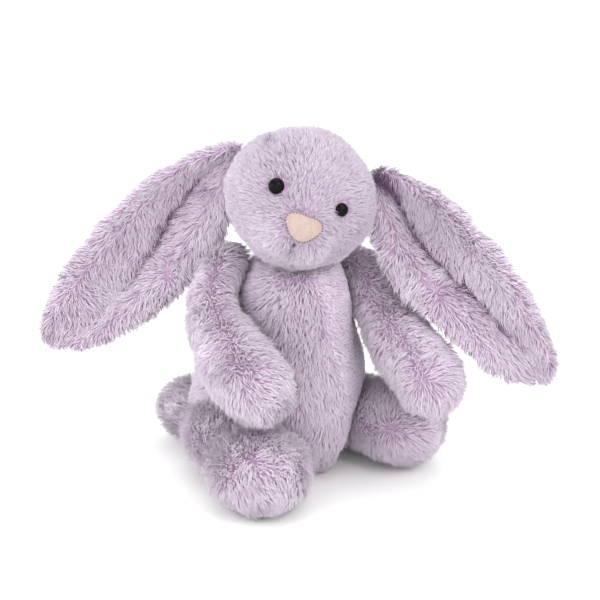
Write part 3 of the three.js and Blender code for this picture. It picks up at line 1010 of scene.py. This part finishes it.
# Where an ear's pile turns outwards, as shares of its lining's box.
EAR_WHORLS = {"ear_right": [(0.21, 0.2, 0.26), (0.65, 0.5, 0.33)], "ear_left": [(0.36, 0.3, 0.42)]}
for i, (name, mesh) in enumerate(ear_meshes.items()):
    ear = name.rsplit("_", 1)[0]
    other = f"{ear}_back" if name.endswith("lining") else f"{ear}_lining"
    faced = solid_tree(ear_meshes[other])[0]

    def along_ear(points, ear=ear, lining=name.endswith("lining")):
        """Towards the tip, and on the lining out over the rim and in to the crease."""
        _, share, side, reach, across, direction = ear_frame(points, ear)
        outward = np.clip(reach / 0.3, -1, 1)
        if lining:
            beyond_rim = np.clip((np.abs(reach) - RIM) / 0.1, -1, 1)
            from_crease = side - table(EARS[ear]["crease"], share) * MM
            inward = -np.clip(from_crease / (6 * MM), -1, 1)
            outward = np.where(beyond_rim > 0, np.sign(reach) * 1.3 * beyond_rim, 0.5 * inward)
        return 0.8 * direction + across * outward[:, None]

    def outside(roots, up, faced=faced):
        """Leaves out the faces that the two panels turn to each other."""
        gaps = np.array([faced.find_nearest(Vector(root))[0] for root in roots]) - roots
        distance = np.linalg.norm(gaps, axis=1)
        return (distance > 1.3 * MM) | (np.sum(gaps * up, axis=1) < 0.6 * distance)

    # On the lining: painted shade in and around the crease, and lighter towards the rim; the back panel a
    # little lighter.
    def ear_shade(roots, ear=ear, lining=name.endswith("lining")):
        _, share, side, reach, *_ = ear_frame(roots, ear)
        rim = np.clip((np.abs(reach) - RIM) / 0.2, -1, 1)
        return (0.14 * rim - 0.7 * ear_crease(share, side, ear)
                - 0.2 * ear_crease(share, side, ear, 11 * MM)) * lining + 0.1 * (1 - lining)

    crowns = [spot(*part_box(f"{ear}_lining"), *place) for place in EAR_WHORLS[ear]]
    swirls = [whorl(crown, 14 * MM, 2.2) for crown in crowns]
    pile(f"{name}_pile", ear, mesh, combing(along_ear, hanging(0.2), *swirls), LONG, SPACING,
         lean=54, seed=800 + 50 * i, keep=outside, bright=ear_shade, crowns=crowns,
         avoid=[backings["head"]])


# ---- eyes, nose and what is inside ------------------------------------------------------------------
EYE_SIDES = 48
EYE_SUNK = 0.9 * MM             # how far an eye is drawn into the pile, past its CAD place
EYE_SHARE = 0.84                # the bead's radius as a share of the CAD bead's
STEM_RADIUS = 1.6 * MM


def add_eye(node):
    """A glossy domed bead on its stem, turned about the CAD eye's own axis."""
    points = cad_points(node)
    middle = points.mean(0)
    tip = points[np.argmax(np.linalg.norm(points - head_centre, axis=1))]
    stem = points[np.argmin(np.linalg.norm(points - head_centre, axis=1))]
    radial = unit(middle - head_centre)
    for _ in range(3):
        front = points[(points - tip) @ radial > -5 * MM]
        rim = front[np.linalg.norm(np.cross(front - tip, radial), axis=1) > 4.2 * MM]
        radial = unit(tip - rim.mean(0))
    dome = (tip - rim.mean(0)) @ radial
    radius = np.linalg.norm(np.cross(rim - tip, radial), axis=1).max()
    bm = bmesh.new()
    side = unit(np.cross(radial, [0.0, 0.0, 1.0]))
    other = np.cross(radial, side)
    depth = (tip - stem) @ radial
    tip = tip - radial * EYE_SUNK
    radius *= EYE_SHARE
    turns = np.linspace(0, math.pi / 2, 12)[1:]
    profile = [(radius * math.sin(a), -dome + dome * math.cos(a)) for a in turns]
    profile += [(radius * 0.96, -dome - 0.5 * MM), (radius * 0.8, -dome - 0.9 * MM),
                (STEM_RADIUS, -dome - 1.0 * MM), (STEM_RADIUS, -depth)]
    rings = []
    for r, z in profile:
        ring = [bm.verts.new(tip + radial * z + (side * math.cos(t) + other * math.sin(t)) * r)
                for t in np.linspace(0, 2 * math.pi, EYE_SIDES, endpoint=False)]
        rings.append(ring)
    top = bm.verts.new(tip)
    bottom = bm.verts.new(tip - radial * depth)
    for k in range(EYE_SIDES):
        n = (k + 1) % EYE_SIDES
        bm.faces.new((top, rings[0][k], rings[0][n]))
        bm.faces.new((bottom, rings[-1][n], rings[-1][k]))
        for upper, lower in zip(rings, rings[1:]):
            bm.faces.new((upper[k], lower[k], lower[n], upper[n]))
    bmesh.ops.recalc_face_normals(bm, faces=bm.faces)
    mesh = smooth_mesh(f"{node}_bead", bm)
    obj = link(f"{node}_bead", mesh, BEAD, "head")
    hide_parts(node)


for node in ("eye_left", "eye_right"):
    add_eye(node)


def nose_shape(points, _):
    """A little smaller than the CAD patch, and gently domed."""
    side, _, up = in_head(points, nose_centre)
    slimmer = points - head_side * (side * 0.11)[:, None] - head_up * (up * 0.13)[:, None]
    return slimmer + head_front * (0.5 * MM * (1 - (side / (11 * MM)) ** 2 - (up / (9 * MM)) ** 2))[:, None]


nose_mesh = reshape(remeshed("nose_patch_suede", ["nose_patch"], 0.4 * MM, smooth=3), nose_shape)
nose = link("nose_patch_suede", nose_mesh, SUEDE, "head")
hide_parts("nose_patch")


NOSE_STEPS = 72                 # steps round the nose's edge, two to a stitch
THREAD_SIDES = 8
# Along one stitch: the share of the way, and the thread's radius and height in millimetres.
STITCH = ((0, 0.1, -0.2), (0.25, 0.34, 0.25), (0.5, 0.4, 0.35), (0.75, 0.34, 0.25), (1, 0.1, -0.2))


def add_nose_stitch():
    """Fine thread stitches, laid one after another round the edge of the nose patch, whose dark thread also
    paints the shadow line between the nose and the pile.
    """
    points, _, _ = mesh_arrays(nose_mesh)
    side, front, up = in_head(points, nose_centre)
    angles = np.arctan2(up, side)
    reach = np.hypot(side, up)
    edge = []
    for angle in np.linspace(-math.pi, math.pi, NOSE_STEPS, endpoint=False):
        gap = np.abs((angles - angle + math.pi) % (2 * math.pi) - math.pi)
        close = np.flatnonzero(gap < 0.1)
        outer = close[reach[close] > reach[close].max() - 0.5 * MM]
        edge.append(points[outer].mean(0) + unit(points[outer].mean(0) - nose_centre) * 0.1 * MM
                    + head_front * (front[outer].max() - front[outer].mean() - 0.1 * MM))
    edge = np.array(edge)
    edge = (np.roll(edge, 1, 0) + edge + np.roll(edge, -1, 0)) / 3
    bm = bmesh.new()
    for k in range(0, NOSE_STEPS, 2):
        ends = (edge[k], edge[(k + 1) % NOSE_STEPS] * 0.75 + edge[(k + 2) % NOSE_STEPS] * 0.25)
        axis = unit(ends[1] - ends[0])
        out = unit(np.cross(axis, np.cross(head_front, axis)))
        across = np.cross(axis, out)
        rings = []
        for share, thick, rise in STITCH:
            centre = ends[0] * (1 - share) + ends[1] * share + out * rise * MM
            rings.append([bm.verts.new(centre + (across * math.cos(t) + out * math.sin(t)) * thick * MM)
                          for t in np.linspace(0, 2 * math.pi, THREAD_SIDES, endpoint=False)])
        for upper, lower in zip(rings, rings[1:]):
            for n in range(THREAD_SIDES):
                after = (n + 1) % THREAD_SIDES
                bm.faces.new((upper[n], upper[after], lower[after], lower[n]))
        bm.faces.new(rings[0])
        bm.faces.new(rings[-1])
    bmesh.ops.recalc_face_normals(bm, faces=bm.faces)
    mesh = smooth_mesh("nose_patch_stitch", bm)
    link("nose_patch_stitch", mesh, THREAD, "head")


add_nose_stitch()


def add_mouth_stitch():
    """One thick stitch that pulls the muzzle in below the nose."""
    place = backings["head"][0].ray_cast(Vector(mouth + head_front * 1.5), Vector(-head_front))[0]
    bm = bmesh.new()
    bmesh.ops.create_uvsphere(bm, u_segments=16, v_segments=10, radius=1)
    for vert in bm.verts:
        x, y, z = vert.co
        shape = head_side * x * 1.2 + head_front * (y + 2.0) + head_up * z * 2.2
        vert.co = Vector(np.array(place) + shape * MM)
    mesh = smooth_mesh("mouth_stitch", bm)
    link("mouth_stitch", mesh, MOUTH_THREAD, "head")


add_mouth_stitch()

INNER = {"eye_washer_left": NYLON, "eye_washer_right": NYLON, "torso_pellet_bag": CALICO}
for node, material in INNER.items():
    data = frame["nodes"][node].data
    data.materials.clear()
    data.materials.append(material)

low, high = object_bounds()
